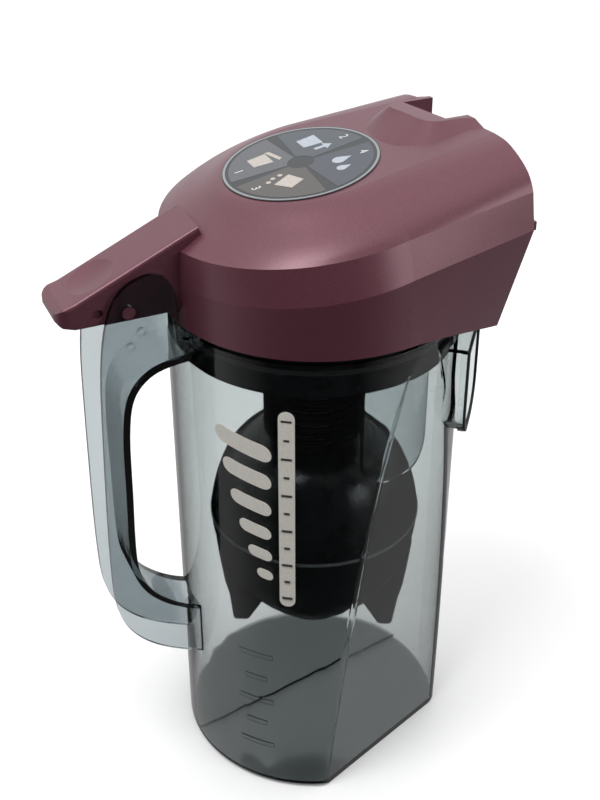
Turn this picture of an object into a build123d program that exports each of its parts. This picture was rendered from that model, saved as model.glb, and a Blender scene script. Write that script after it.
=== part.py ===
from build123d import *
import math
import os

# Cyclone dust bin: smoke jug with a channel handle, black separator inside, plum hinged lid.
# Millimetres, +Z up, origin on the jug axis at the flat base, handle towards -X, outlet towards +X.
os.makedirs("parts", exist_ok=True)

# Jug sizes; TOOL is the length of a cutting tool that passes right through
TOOL = 400.0
JUG_R_TOP = 60.0
JUG_DRAFT = 0.8
JUG_R_BASE = JUG_R_TOP - JUG_DRAFT
JUG_RIM_Z = 222.0
JUG_WALL = 2.0
FLOOR_T = 2.5
BASE_ROUND = 2.0
FLOOR_STEP_H = 1.6
FLOOR_STEP_Y = 9.0
FLOOR_STEP_TURN = 10.4
FACET_TURN = -68.7
FACET_CUT = 15.0
FACET_D0 = JUG_R_TOP - FACET_CUT
FACET_RISE = 0.068
FACET_ROUND = 6.0

# Handle sizes; its curves are given as distance out from the wall and height from the rim
HANDLE_WEB = 2.5
HANDLE_WALL = 2.2
EAR_IN_HALF = 12.4
EAR_OUT_HALF = EAR_IN_HALF + HANDLE_WALL
EAR_TAPER_Z = JUG_RIM_Z - 16.0
HANDLE_MID_Z = JUG_RIM_Z - 112.0
HANDLE_MID_OUT = 11.2
HANDLE_LOW_Z = JUG_RIM_Z - 182.0
HANDLE_LOW_OUT = 10.6
HANDLE_TOP_Z = JUG_RIM_Z + 40.0
OUTER_CURVE = [
    (3.1, 14.0), (4.4, 22.0), (7.6, 26.6), (12.0, 28.2), (17.0, 27.6), (22.0, 25.4), (27.0, 20.4), (30.7, 11.6),
    (33.2, -1.0), (35.2, -32.0), (36.2, -72.0), (36.4, -110.0), (32.8, -134.0), (23.4, -147.5), (9.0, -157.5),
    (-6.0, -164.5),
]
INNER_CURVE = [
    (-6.0, -138.0), (4.0, -133.8), (12.5, -128.0), (19.5, -120.5), (24.2, -110.0), (25.6, -96.0), (25.2, -62.0),
    (24.2, -32.0), (20.9, -20.2), (14.5, -14.0), (5.5, -11.4), (-6.0, -10.4),
]
HANDLE_OUTER = [(-JUG_R_TOP - out, JUG_RIM_Z + up) for out, up in OUTER_CURVE]
HANDLE_INNER = [(-JUG_R_TOP - out, JUG_RIM_Z + up) for out, up in INNER_CURVE]
EAR_FOOT_X = -JUG_R_TOP - 2.8
EAR_FOOT_Z = JUG_RIM_Z - 1.5

# Hinge sizes
PIVOT_X = -JUG_R_TOP - 21.7
PIVOT_Z = JUG_RIM_Z + 14.6
PIN_R = 2.65
PIN_FIT = 0.08
PIN_END_HALF = EAR_OUT_HALF - 0.3
MARK_R = 1.9
MARK_LINE = 0.45
MARK_H = 0.35
MARKS = [(PIVOT_X + 4.1, PIVOT_Z - 8.5), (PIVOT_X - 0.5, PIVOT_Z - 14.0)]

# Inlet port sizes, drawn facing +X and turned to its place
PORT_TURN = -38.0
PORT_HALF = 17.0
PORT_Z1 = JUG_RIM_Z - 10.0
PORT_Z0 = PORT_Z1 - 42.0
PORT_ROUND = 13.0
PORT_WALL = 2.0
PORT_R_IN = JUG_R_TOP - 10.0
FLANGE_X0 = JUG_R_TOP + 2.8
FLANGE_T = 2.2
FLANGE_LIP = 0.8
INLET_SEAL_T = 1.0
INLET_SEAL_INSET = 0.2
DEFLECT_R = JUG_R_TOP - 10.4
DEFLECT_T = 1.8
DEFLECT_Z0 = JUG_RIM_Z - 65.0
DEFLECT_A0 = -92.0
DEFLECT_A1 = -50.0
DEFLECT_ROUND = 12.0

# Raised level marks on the jug's front
LEVEL_TURN = -139.0
LEVEL_Z0 = 24.0
LEVEL_STEP = 13.0
LEVEL_N = 5
LEVEL_H = 0.6
LEVEL_T = 2.4
LEVEL_LONG = 16.0
LEVEL_SHORT = 10.0

# Separator sizes
FIT = 0.25
COLLAR_LOW_Z = JUG_RIM_Z - 15.3
COLLAR_FLANGE_T = 2.0
COLLAR_TOP_Z = JUG_RIM_Z + COLLAR_FLANGE_T
COLLAR_T = 2.2
COLLAR_PLATE_Z = JUG_RIM_Z - 11.5
COLLAR_PLATE_T = 2.4
COLLAR_R = JUG_R_TOP - JUG_WALL - FIT
COLLAR_FLANGE_IN = COLLAR_R - 6.25
COLLAR_FLANGE_R = COLLAR_R + 0.65
COLLAR_R_LOW = COLLAR_R - 1.15
WINDOW_TURN = -80.0
WINDOW_W = 17.0
WINDOW_Z0 = COLLAR_PLATE_Z + COLLAR_PLATE_T
WINDOW_Z1 = JUG_RIM_Z - 2.0
GASKET_Z = JUG_RIM_Z - 5.4
GASKET_H = 2.0
GASKET_D = 1.1
NECK_R = 21.4
NECK_RIB_IN = NECK_R - 2.2
NECK_BAR_IN = NECK_R - 3.6
NECK_TOP_Z = COLLAR_PLATE_Z
NECK_L = 52.5
NECK_LOW_Z = NECK_TOP_Z - NECK_L
NECK_RIB_N = 15
NECK_BAR_N = 8
NECK_BAR_W = 2.4
NECK_BAR_SINK = 0.4
NECK_FLANGE_R = NECK_R + 5.6
NECK_FLANGE_T = 2.0
MESH_T = 0.6
BELL_T = 2.2
BELL_H = 41.0
SEAM_Z = NECK_LOW_Z - BELL_H
SEAM_R = JUG_R_TOP - 14.8
SEAM_H = 1.4
SEAM_PROUD = 0.3
BELL_OUT = [(15.7, 36.6), (9.0, 29.6), (4.2, 20.0), (1.3, 10.0)]
BELL_IN = [(3.5, 10.0), (6.4, 19.0), (11.0, 27.8), (17.0, 34.0)]
BELL_PROFILE = ([(NECK_R, NECK_LOW_Z)] + [(SEAM_R - d, SEAM_Z + h) for d, h in BELL_OUT]
                + [(SEAM_R, SEAM_Z + SEAM_H)])
BELL_HOLLOW = ([(SEAM_R - BELL_T, SEAM_Z + SEAM_H)] + [(SEAM_R - d, SEAM_Z + h) for d, h in BELL_IN]
               + [(NECK_BAR_IN - MESH_T, NECK_LOW_Z - BELL_T), (NECK_BAR_IN - MESH_T, NECK_LOW_Z)])
CUP_CURVE = [(1.0, 0.0), (0.987, 7.0), (0.956, 14.0), (0.903, 22.0), (0.825, 30.0), (0.728, 37.0), (0.615, 43.0),
             (0.487, 49.0), (0.354, 54.7), (0.177, 61.0), (0.060, 65.4)]
CUP_PROFILE = [(SEAM_R * k, SEAM_Z - h) for k, h in CUP_CURVE]
CUP_TIP_Z = SEAM_Z - 66.8
LEG_TURN = -27.0
LEG_T = 7.0
LEG_ROUND = 2.4
LEG_CURVE = [(0.965, 17.0), (0.947, 25.0), (0.925, 33.0), (0.894, 43.0), (0.850, 51.0), (0.800, 66.5),
             (0.664, 66.5), (0.447, 50.0), (0.447, 36.0), (0.823, 17.0)]
LEG_SHAPE = [(SEAM_R * k, SEAM_Z - h) for k, h in LEG_CURVE]
SEP_SCREW_R = 1.5
SEP_SCREW_HEAD_R = 2.9
SEP_SCREW_HEAD_H = 1.8
SEP_SCREW_L = 7.0
SEP_SCREW_AT = NECK_R + 2.8
SEP_SCREW_N = 3

# Lid sizes; each outline is a round front, straight sides and a rear edge that slants by REAR_SKEW
LID_Z = JUG_RIM_Z + 3.0
LID_WALL = 2.4
LID_FOOT_Z = JUG_RIM_Z - 3.6
DROP_CURVE = [(58.0, 0.0), (46.0, 0.35), (36.0, 1.3), (24.0, 3.0), (4.5, 6.3)]
LID_DROP = [(JUG_R_TOP - d, LID_Z - h) for d, h in DROP_CURVE]
FOOT_R = JUG_R_TOP + 1.8
FOOT_HALF = JUG_R_TOP + 2.0
FOOT_REAR_X = JUG_R_TOP - 5.0
FOOT_REAR_HALF = JUG_R_TOP - 9.6
FOOT_REAR_MID = JUG_R_TOP + 3.8
MID_K = JUG_RIM_Z + 29.25
MID_SLOPE = 0.140
MID_R = JUG_R_TOP + 1.6
MID_HALF = JUG_R_TOP + 3.0
MID_REAR_X = JUG_R_TOP + 3.6
MID_REAR_HALF = JUG_R_TOP - 3.5
RIM_K = JUG_RIM_Z + 42.9
RIM_SLOPE = 0.1416
RIM_R = JUG_R_TOP + 1.2
RIM_HALF = JUG_R_TOP - 2.0
RIM_REAR_X = JUG_R_TOP + 4.0
RIM_REAR_HALF = JUG_R_TOP - 7.0
REAR_SKEW = 12.0
FAR_SHARE = 0.45
FRONT_START = 80.0
FRONT_STEPS = 12
REAR_TURN = math.degrees(math.atan2(REAR_SKEW, 2 * RIM_REAR_HALF))
TOP_K = RIM_K + 13.6
TOP_SLOPE = 0.165
DOME = [(0.0, 0.0, RIM_SLOPE), (3.2, 0.25, 0.176), (7.5, 0.46, 0.189), (12.5, 0.65, 0.194),
        (18.5, 0.86, 0.184), (25.0, 1.0, TOP_SLOPE)]
HUMP_TOP_Z = TOP_K + 12.1
HUMP_LOW_Z = TOP_K + 4.0
HUMP_FRONT_LOW = RIM_REAR_X - 38.8
HUMP_HALF_LOW = 24.0
HUMP_REAR_LOW = 38.0
HUMP_TOP = [(17.6, 13.3), (24.2, 12.6), (27.4, 10.4), (26.6, 4.0), (24.9, -3.0), (23.2, -9.0), (20.4, -12.2),
            (14.0, -13.5)]
HUMP_REAR_NEAR = 16.0
HUMP_REAR_FAR = 13.4
SLOT_X = RIM_REAR_X - 17.6
SLOT_TURN = 15.0
SLOT_HALF = 11.4
SLOT_Z = TOP_K + 4.1
SLOT_WALL = 2.2
TAB_Y = MID_REAR_HALF - 3.4
TAB_Z = MID_K + 9.6
TAB_W = 3.4
TAB_OUT = 1.6

# Tongue sizes
TONGUE_HALF = 12.0
TONGUE_Z = JUG_RIM_Z + 10.2
TONGUE_WALL = 2.2
TONGUE_TIP_X = -JUG_R_TOP - 48.4
TONGUE_ROOT_X = -JUG_R_TOP + 12.0
TONGUE_CURVE = [(-12.0, 28.0), (-7.5, 42.8), (41.0, 20.9), (45.4, 19.6), (48.4, 17.0), (48.4, 14.4),
                (46.0, 11.7), (41.5, 10.2)]
TONGUE_TOP = [(-JUG_R_TOP - out, JUG_RIM_Z + up) for out, up in TONGUE_CURVE]
HOLLOW_CURVE = [(0.5, 8.2), (0.5, 36.2), (41.0, 17.4), (45.0, 15.0), (45.0, 8.2)]
TONGUE_HOLLOW = [(-JUG_R_TOP - out, JUG_RIM_Z + up) for out, up in HOLLOW_CURVE]
TONGUE_ROUND = 1.6
TIP_ROUND = 1.0
TIP_CORNER = 5.0
PAD_X = -JUG_R_TOP - 31.7
PAD_Z = JUG_RIM_Z + 25.6
PAD_R = 30.0
PAD_DEPTH = 2.1
SIDE_HOLE_X = PIVOT_X - 11.2
SIDE_HOLE_Z = PIVOT_Z + 0.6
SIDE_HOLE_R = 2.1
SIDE_HOLE_D = 2.4

# Parts carried in the lid
BASE_Z = LID_Z + 0.4
BASE_T = 3.0
BASE_FIT = 0.3
BASE_HALF = JUG_R_TOP + 1.4
BASE_REAR_GAP = 5.7
BASE_SKEW = 1.8
BASE_HOLE_R = 24.0
SEAL_IN = COLLAR_FLANGE_IN + 0.9
SEAL_OUT = COLLAR_FLANGE_R - 1.0
POST_R = 4.2
POST_AT = [(JUG_R_TOP * ax, JUG_R_TOP * ay) for ax, ay in
           [(-0.567, 0.56), (-0.567, -0.56), (0.683, 0.758), (0.683, -0.758)]]
SCREW_R = 1.5
SCREW_L = 10.0
SCREW_HEAD_R = 2.9
SCREW_HEAD_H = 1.8
SCREW_FIT = 0.05
SCREW_CROSS_W = 0.8
SCREW_CROSS_L = 3.6
SCREW_CROSS_D = 1.2
FRAME_X0 = -0.483 * JUG_R_TOP
FRAME_X1 = 0.517 * JUG_R_TOP
FRAME_HALF = JUG_R_TOP - 20.0
FRAME_T = 2.0
FRAME_H = 17.0
FOAM_H = 7.0
PLEAT_N = 14
PLEAT_H = 6.5
PLEAT_T = 0.8
FILTER_FIT = 0.25
OUT_HALF = JUG_R_TOP / 2
OUT_Z0 = MID_K + 10.4
OUT_Z1 = RIM_K + 9.0
OUT_IN = 10.0
OUT_PROUD = 1.8
OUT_WALL = 1.8
OUT_FIT = 0.2
OUT_BAR_N = 9
OUT_BAR_T = 1.4
OUT_BAR_L = 4.0
OUT_BAR_BACK = 3.0
OUT_SEAL_T = 1.6
LABEL_R = JUG_R_TOP - 29.5
LABEL_X = -6.0
LABEL_T = 0.4


def ring(r_out, r_in, z0, z1):
    """Plain ring about the jug axis."""
    body = Pos(0, 0, (z0 + z1) / 2) * Cylinder(r_out, z1 - z0)
    if r_in > 0:
        body -= Pos(0, 0, (z0 + z1) / 2) * Cylinder(r_in, z1 - z0 + 2)
    return body


def turned(points):
    """Solid of revolution about the jug axis from closed (radius, height) points."""
    with BuildSketch(Plane.XZ) as sk:
        with BuildLine():
            Polyline(*points, close=True)
        make_face()
    return revolve(sk.sketch, axis=Axis.Z)


def spun(curve, closing):
    """Solid of revolution from a smooth (radius, height) curve closed by straight lines."""
    with BuildSketch(Plane.XZ) as sk:
        with BuildLine():
            Spline(*curve)
            Polyline(curve[-1], *closing, curve[0])
        make_face()
    return revolve(sk.sketch, axis=Axis.Z)


def facet_space(inset):
    """Everything outside the leaning docking facet, moved inwards by inset."""
    a = math.radians(FACET_TURN)
    out = Vector(math.cos(a), math.sin(a), -FACET_RISE).normalized()
    foot = FACET_D0 - inset
    at = Plane(origin=(foot * math.cos(a), foot * math.sin(a), 0), z_dir=out)
    return at * Pos(0, 0, TOOL / 2) * Box(2 * TOOL, 2 * TOOL, TOOL)


def soft_facet(form, radius):
    """Round the long edge where the docking facet meets the round wall."""
    a = math.radians(FACET_TURN)
    face = form.faces().filter_by(GeomType.PLANE).sort_by(Axis((0, 0, 0), (math.cos(a), math.sin(a), 0)))[-1]
    long_edges = face.edges().filter_by(lambda e: e.length > JUG_RIM_Z / 3 and e.geom_type != GeomType.LINE)
    return fillet_of(form, long_edges, radius)


def fillet_of(form, edges, radius):
    """Rounded copy of a form."""
    return form.fillet(radius, edges) if isinstance(form, Solid) else form.solids()[0].fillet(radius, edges)


def moved_outwards(points, dist):
    """Points of a curve moved to its left by dist."""
    res = []
    for i, p in enumerate(points):
        q0 = points[max(i - 1, 0)]
        q1 = points[min(i + 1, len(points) - 1)]
        dx, dz = q1[0] - q0[0], q1[1] - q0[1]
        n = math.hypot(dx, dz)
        res.append((p[0] - dz / n * dist, p[1] + dx / n * dist))
    return res


def handle_wedge(shrink):
    """Tapering width of the handle, seen along X."""
    pts = [
        (HANDLE_LOW_OUT - shrink, HANDLE_LOW_Z), (HANDLE_MID_OUT - shrink, HANDLE_MID_Z),
        (EAR_OUT_HALF - shrink, EAR_TAPER_Z), (EAR_OUT_HALF - shrink, HANDLE_TOP_Z),
        (-EAR_OUT_HALF + shrink, HANDLE_TOP_Z), (-EAR_OUT_HALF + shrink, EAR_TAPER_Z),
        (-HANDLE_MID_OUT + shrink, HANDLE_MID_Z), (-HANDLE_LOW_OUT + shrink, HANDLE_LOW_Z),
    ]
    with BuildSketch(Plane.YZ) as sk:
        with BuildLine():
            Polyline(*pts, close=True)
        make_face()
    return extrude(sk.sketch, amount=-TOOL)


# Jug: one moulding with wall, floor, docking facet, handle, ears and inlet port
jug_outer = turned([(0, 0), (JUG_R_BASE, 0), (JUG_R_TOP, JUG_RIM_Z), (0, JUG_RIM_Z)]) - facet_space(0)
jug_outer = soft_facet(jug_outer, FACET_ROUND)
jug_outer &= turned([(0, 0), (JUG_R_BASE - BASE_ROUND, 0), (JUG_R_BASE - BASE_ROUND + JUG_RIM_Z, JUG_RIM_Z),
                     (0, JUG_RIM_Z)])
jug_inner = turned([(0, FLOOR_T), (JUG_R_BASE - JUG_WALL, FLOOR_T),
                    (JUG_R_TOP - JUG_WALL, JUG_RIM_Z),
                    (JUG_R_TOP - JUG_WALL, JUG_RIM_Z + JUG_WALL), (0, JUG_RIM_Z + JUG_WALL)])
jug_inner = soft_facet(jug_inner - facet_space(JUG_WALL), FACET_ROUND - JUG_WALL)
step = Rot(0, 0, FLOOR_STEP_TURN) * Pos(0, FLOOR_STEP_Y + TOOL / 2, FLOOR_T + FLOOR_STEP_H / 2)
jug_inner -= step * Box(TOOL, TOOL, FLOOR_STEP_H)

with BuildSketch(Plane.XZ) as handle_sk:
    with BuildLine():
        Spline(*HANDLE_OUTER)
        Line(HANDLE_OUTER[-1], HANDLE_INNER[0])
        Spline(*HANDLE_INNER)
        Polyline(HANDLE_INNER[-1], (HANDLE_INNER[-1][0], EAR_FOOT_Z), (EAR_FOOT_X, EAR_FOOT_Z), HANDLE_OUTER[0])
    make_face()
handle = extrude(handle_sk.sketch, amount=2 * EAR_OUT_HALF, both=True) & handle_wedge(0)
web = moved_outwards(HANDLE_INNER, HANDLE_WEB)
with BuildSketch(Plane.XZ) as pocket_sk:
    with BuildLine():
        Spline(*web)
        Polyline(web[-1], (web[-1][0], TOOL), (-TOOL, TOOL), (-TOOL, 0), (web[0][0], 0), web[0])
    make_face()
handle -= extrude(pocket_sk.sketch, amount=2 * EAR_OUT_HALF, both=True) & handle_wedge(HANDLE_WALL)
handle -= Pos(PIVOT_X, 0, PIVOT_Z) * Rot(90, 0, 0) * Cylinder(PIN_R + PIN_FIT, 4 * EAR_OUT_HALF)

port_block = Pos((PORT_R_IN + FLANGE_X0 + FLANGE_T) / 2, 0, (PORT_Z0 + PORT_Z1) / 2)
port_outer = port_block * Box(FLANGE_X0 + FLANGE_T - PORT_R_IN, 2 * PORT_HALF, PORT_Z1 - PORT_Z0)
low_edges = port_outer.edges().filter_by(Axis.X).group_by(Axis.Z)[0]
port_outer = fillet(low_edges, PORT_ROUND)
flange = Pos(FLANGE_X0 + FLANGE_T / 2, 0, (PORT_Z0 - FLANGE_LIP + PORT_Z1) / 2)
flange = flange * Box(FLANGE_T, 2 * (PORT_HALF + FLANGE_LIP), PORT_Z1 - PORT_Z0 + FLANGE_LIP)
flange = fillet(flange.edges().filter_by(Axis.X).group_by(Axis.Z)[0], PORT_ROUND + FLANGE_LIP)
bore_half = PORT_HALF - PORT_WALL
port_bore = Pos(JUG_R_TOP, 0, (PORT_Z0 + PORT_Z1) / 2)
port_bore = port_bore * Box(2 * (JUG_R_TOP - PORT_R_IN), 2 * bore_half, PORT_Z1 - PORT_Z0 - 2 * PORT_WALL)
port_bore = fillet(port_bore.edges().filter_by(Axis.X).group_by(Axis.Z)[0], PORT_ROUND - PORT_WALL)
port = Rot(0, 0, PORT_TURN) * (port_outer + flange)
port_bore = Rot(0, 0, PORT_TURN) * port_bore

jug = jug_outer + handle + port
jug -= jug_inner
jug -= port_bore
for mx, mz in MARKS:
    for side in (1, -1):
        mark = Cylinder(MARK_R, 2 * MARK_H) - Cylinder(MARK_R - MARK_LINE, 3 * MARK_H)
        mark -= Pos(0, -side * MARK_R, 0) * Box(MARK_R * 0.7, MARK_R, 3 * MARK_H)
        jug += Pos(mx, side * EAR_OUT_HALF, mz) * Rot(side * 90, 0, 0) * mark
for i in range(LEVEL_N):
    z = LEVEL_Z0 + i * LEVEL_STEP
    width = LEVEL_LONG if i % 2 == 0 else LEVEL_SHORT
    bar = Pos(JUG_R_BASE, 0, z) * Box(4 * JUG_WALL, width, LEVEL_T)
    bar &= ring(JUG_R_BASE + LEVEL_H, JUG_R_BASE - JUG_WALL / 2, z - LEVEL_T, z + LEVEL_T)
    jug += Rot(0, 0, LEVEL_TURN) * bar

# Inlet: rubber seal on the port flange and a curved deflector panel behind the port
seal_x = FLANGE_X0 + FLANGE_T
seal_h = PORT_Z1 - PORT_Z0 + FLANGE_LIP - 2 * INLET_SEAL_INSET
seal_half = PORT_HALF + FLANGE_LIP - INLET_SEAL_INSET
seal_mid = (PORT_Z1 + PORT_Z0 - FLANGE_LIP) / 2
inlet_seal = Pos(seal_x + INLET_SEAL_T / 2, 0, seal_mid) * Box(INLET_SEAL_T, 2 * seal_half, seal_h)
seal_round = PORT_ROUND + FLANGE_LIP - INLET_SEAL_INSET
inlet_seal = fillet(inlet_seal.edges().filter_by(Axis.X).group_by(Axis.Z)[0], seal_round)
inlet_seal = Rot(0, 0, PORT_TURN) * inlet_seal - port_bore

deflect_mid = (DEFLECT_A0 + DEFLECT_A1) / 2
deflect_half = DEFLECT_R * math.sin(math.radians((DEFLECT_A1 - DEFLECT_A0) / 2))
deflect_h = COLLAR_PLATE_Z - DEFLECT_Z0
panel = Pos(DEFLECT_R, 0, DEFLECT_Z0 + deflect_h / 2) * Box(4 * DEFLECT_ROUND, 2 * deflect_half, deflect_h)
panel = fillet(panel.edges().filter_by(Axis.X).group_by(Axis.Z)[0], DEFLECT_ROUND)
deflector = ring(DEFLECT_R, DEFLECT_R - DEFLECT_T, DEFLECT_Z0 - 1, COLLAR_PLATE_Z)
deflector &= Rot(0, 0, deflect_mid) * panel

# Separator: collar hung in the jug's mouth, grille neck, bell and cup
collar = turned([(COLLAR_R_LOW, COLLAR_LOW_Z), (COLLAR_R, JUG_RIM_Z), (COLLAR_FLANGE_R, JUG_RIM_Z),
                 (COLLAR_FLANGE_R, COLLAR_TOP_Z), (COLLAR_FLANGE_IN, COLLAR_TOP_Z),
                 (COLLAR_FLANGE_IN, JUG_RIM_Z), (COLLAR_R - COLLAR_T, JUG_RIM_Z - COLLAR_T),
                 (COLLAR_R_LOW - COLLAR_T, COLLAR_LOW_Z)])
collar += ring(COLLAR_R_LOW - COLLAR_T / 2, NECK_BAR_IN, COLLAR_PLATE_Z, COLLAR_PLATE_Z + COLLAR_PLATE_T)
window = Pos(COLLAR_R, 0, (WINDOW_Z0 + WINDOW_Z1) / 2) * Box(6 * COLLAR_T, WINDOW_W, WINDOW_Z1 - WINDOW_Z0)
collar -= Rot(0, 0, WINDOW_TURN) * window
collar -= ring(COLLAR_R + GASKET_D, COLLAR_R - GASKET_D, GASKET_Z - FIT / 2, GASKET_Z + GASKET_H + FIT / 2)
sep_hole = ring(SEP_SCREW_R, 0, COLLAR_PLATE_Z - 1, COLLAR_TOP_Z)
sep_holes = [Rot(0, 0, 360 / SEP_SCREW_N * i) * Pos(SEP_SCREW_AT, 0, 0) for i in range(SEP_SCREW_N)]
for at in sep_holes:
    collar -= at * sep_hole

gasket = ring(COLLAR_R - FIT, COLLAR_R - GASKET_D, GASKET_Z, GASKET_Z + GASKET_H)

rib_h = (NECK_TOP_Z - NECK_FLANGE_T - NECK_LOW_Z) / (2 * NECK_RIB_N + 1)
grille = ring(NECK_FLANGE_R, NECK_BAR_IN, NECK_TOP_Z - NECK_FLANGE_T, NECK_TOP_Z)
for i in range(NECK_RIB_N + 1):
    z = NECK_LOW_Z + 2 * i * rib_h
    grille += ring(NECK_R, NECK_RIB_IN, z, z + rib_h)
bar_h = NECK_TOP_Z - NECK_LOW_Z
bar = ring(NECK_RIB_IN + NECK_BAR_SINK, NECK_BAR_IN, NECK_LOW_Z, NECK_TOP_Z)
bar &= Pos(NECK_RIB_IN, 0, NECK_LOW_Z + bar_h / 2) * Box(4 * NECK_BAR_W, NECK_BAR_W, bar_h)
for i in range(NECK_BAR_N):
    grille += Rot(0, 0, 360 / NECK_BAR_N * i) * bar
for at in sep_holes:
    grille -= at * ring(SEP_SCREW_R - SCREW_FIT, 0, NECK_TOP_Z - NECK_FLANGE_T - 1, NECK_TOP_Z + 1)

mesh_sleeve = ring(NECK_BAR_IN, NECK_BAR_IN - MESH_T, NECK_LOW_Z, NECK_TOP_Z)

bell = spun(BELL_PROFILE, BELL_HOLLOW)
seam_ring = ring(SEAM_R + SEAM_PROUD, SEAM_R - BELL_T, SEAM_Z, SEAM_Z + SEAM_H)
cup_hollow = [(SEAM_R - BELL_T, SEAM_Z)] + moved_outwards(CUP_PROFILE, -BELL_T)[1:]
cup_hollow.append((0, cup_hollow[-1][1]))
cup = spun(CUP_PROFILE, [(0, CUP_TIP_Z)] + cup_hollow[::-1])
with BuildSketch(Plane.XZ) as leg_sk:
    with BuildLine():
        Polyline(*LEG_SHAPE, close=True)
    make_face()
leg = extrude(leg_sk.sketch, amount=LEG_T / 2, both=True)
leg = fillet(leg.edges().filter_by(Axis.Y).group_by(Axis.Z)[0], LEG_ROUND)
wall_mid = moved_outwards(CUP_PROFILE, -BELL_T / 2)
leg -= turned(wall_mid + [(0, wall_mid[-1][1]), (0, wall_mid[0][1])])
for turn in (LEG_TURN, LEG_TURN + 180):
    cup += Rot(0, 0, turn) * leg

sep_screw = ring(SEP_SCREW_R - SCREW_FIT, 0, COLLAR_PLATE_Z + COLLAR_PLATE_T - SEP_SCREW_L,
                 COLLAR_PLATE_Z + COLLAR_PLATE_T)
sep_screw += ring(SEP_SCREW_HEAD_R, 0, COLLAR_PLATE_Z + COLLAR_PLATE_T,
                  COLLAR_PLATE_Z + COLLAR_PLATE_T + SEP_SCREW_HEAD_H)
sep_screws = Compound(children=[at * sep_screw for at in sep_holes])

# Lid: one plum moulding with skirt, dome, hump, tongue and hinge pins


def lid_wire(k, slope, radius, half, rear, rear_mid=0, skew=0.0):
    """Closed outline in a tilted plane: round front, straight sides, straight or bowed rear.
    rear places the rear edge: its X at the near end, the half width there, the outline's own half width."""
    rear_x, ref_half, rear_half = rear

    def up(x, y):
        return (x, y, k + slope * x)

    def rear_at(y):
        return rear_x - skew * (y + ref_half) / (2 * ref_half)
    turns = [math.radians(FRONT_START + (360 - 2 * FRONT_START) * i / FRONT_STEPS) for i in range(FRONT_STEPS + 1)]
    near_end = up(rear_at(-rear_half), -rear_half)
    far_half = rear_half - FAR_SHARE * skew
    far_end = up(rear_at(far_half), far_half)
    front = Spline(*[up(radius * math.cos(t), half * math.sin(t)) for t in turns])
    near = Line(front @ 1, near_end)
    if rear_mid:
        end = ThreePointArc(near @ 1, up(rear_mid, 0), far_end)
    else:
        end = Line(near @ 1, far_end)
    far = Line(end @ 1, front @ 0)
    return Wire([front, near, end, far])


def is_cap(face):
    """True for a flat end of a loft."""
    return face.geom_type == GeomType.PLANE and abs(face.normal_at().Z) > 0.9


def lid_form(off, low):
    """Solid form of the lid, moved inwards by off; its foot is lowered by low."""
    foot = lid_wire(LID_FOOT_Z - low, 0, FOOT_R - off, FOOT_HALF - off,
                    (FOOT_REAR_X - off, FOOT_REAR_HALF - off, FOOT_REAR_HALF - off), FOOT_REAR_MID - off)
    mid = lid_wire(MID_K, MID_SLOPE, MID_R - off, MID_HALF - off,
                   (MID_REAR_X - off, MID_REAR_HALF - off, MID_REAR_HALF - off), 0, REAR_SKEW)
    rim = lid_wire(RIM_K, RIM_SLOPE, RIM_R - off, RIM_HALF - off,
                   (RIM_REAR_X - off, RIM_REAR_HALF - off, RIM_REAR_HALF - off), 0, REAR_SKEW)
    skirt = Solid.make_loft([foot, mid], True)
    band = Solid.make_loft([mid, rim], True)
    levels = []
    for d, h, slope in DOME:
        k = RIM_K + (TOP_K - off - RIM_K) * h
        inset = off + d
        levels.append(lid_wire(k, slope, RIM_R - inset, RIM_HALF - inset,
                               (RIM_REAR_X - off, RIM_REAR_HALF - off, RIM_REAR_HALF - inset), 0, REAR_SKEW))
    dome = Solid.make_loft(levels, False)
    skirt_faces = [f for f in skirt.faces() if not is_cap(f) or f.center().Z < MID_K - 2 * LID_WALL]
    dome_faces = [f for f in dome.faces() if not is_cap(f) or f.center().Z > RIM_K + LID_WALL]
    faces = skirt_faces + [f for f in band.faces() if not is_cap(f)] + dome_faces
    return Solid(Shell(faces))


def rear_edge(y):
    """X of the lid's slanting rear edge at a given Y."""
    return RIM_REAR_X - REAR_SKEW * (y + RIM_REAR_HALF) / (2 * RIM_REAR_HALF)


def hump_wire(z, points):
    """Outline of the raised catch hump at one height, closed along the lid's rear edge."""
    side = Spline(*[(x, y, z) for x, y in points])
    return Wire([side, Line(side @ 1, side @ 0)])


lid_outer = lid_form(0, 0)
lid_inner = lid_form(LID_WALL, 1)
low_half = HUMP_HALF_LOW
low_side = [(HUMP_FRONT_LOW + low_half * ax, low_half * ay) for ax, ay in
            [(0.9, 1.06), (0.5, 0.93), (0.14, 0.62), (0.0, 0.2)]]
low_shape = [(rear_edge(HUMP_REAR_LOW), HUMP_REAR_LOW)] + low_side
low_shape += [(x, -y) for x, y in low_side[::-1]] + [(rear_edge(-HUMP_REAR_LOW), -HUMP_REAR_LOW)]
top_shape = ([(rear_edge(HUMP_REAR_FAR), HUMP_REAR_FAR)] + [(RIM_REAR_X - d, y) for d, y in HUMP_TOP]
             + [(rear_edge(-HUMP_REAR_NEAR), -HUMP_REAR_NEAR)])
hump = Solid.make_loft([hump_wire(HUMP_LOW_Z, low_shape), hump_wire(HUMP_TOP_Z, top_shape)], True)


def slot_space(grow, low):
    """Recess in the hump's rear, open to the back and the top, grown by a wall."""
    at = Pos(SLOT_X, 0, 0) * Rot(0, 0, SLOT_TURN) * Pos(TOOL / 2 - grow, 0, low + TOOL / 2)
    return at * Box(TOOL, TOOL, TOOL) & Pos(SLOT_X, 0, low + TOOL / 4) * Box(TOOL, 2 * (SLOT_HALF + grow), TOOL)


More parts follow.
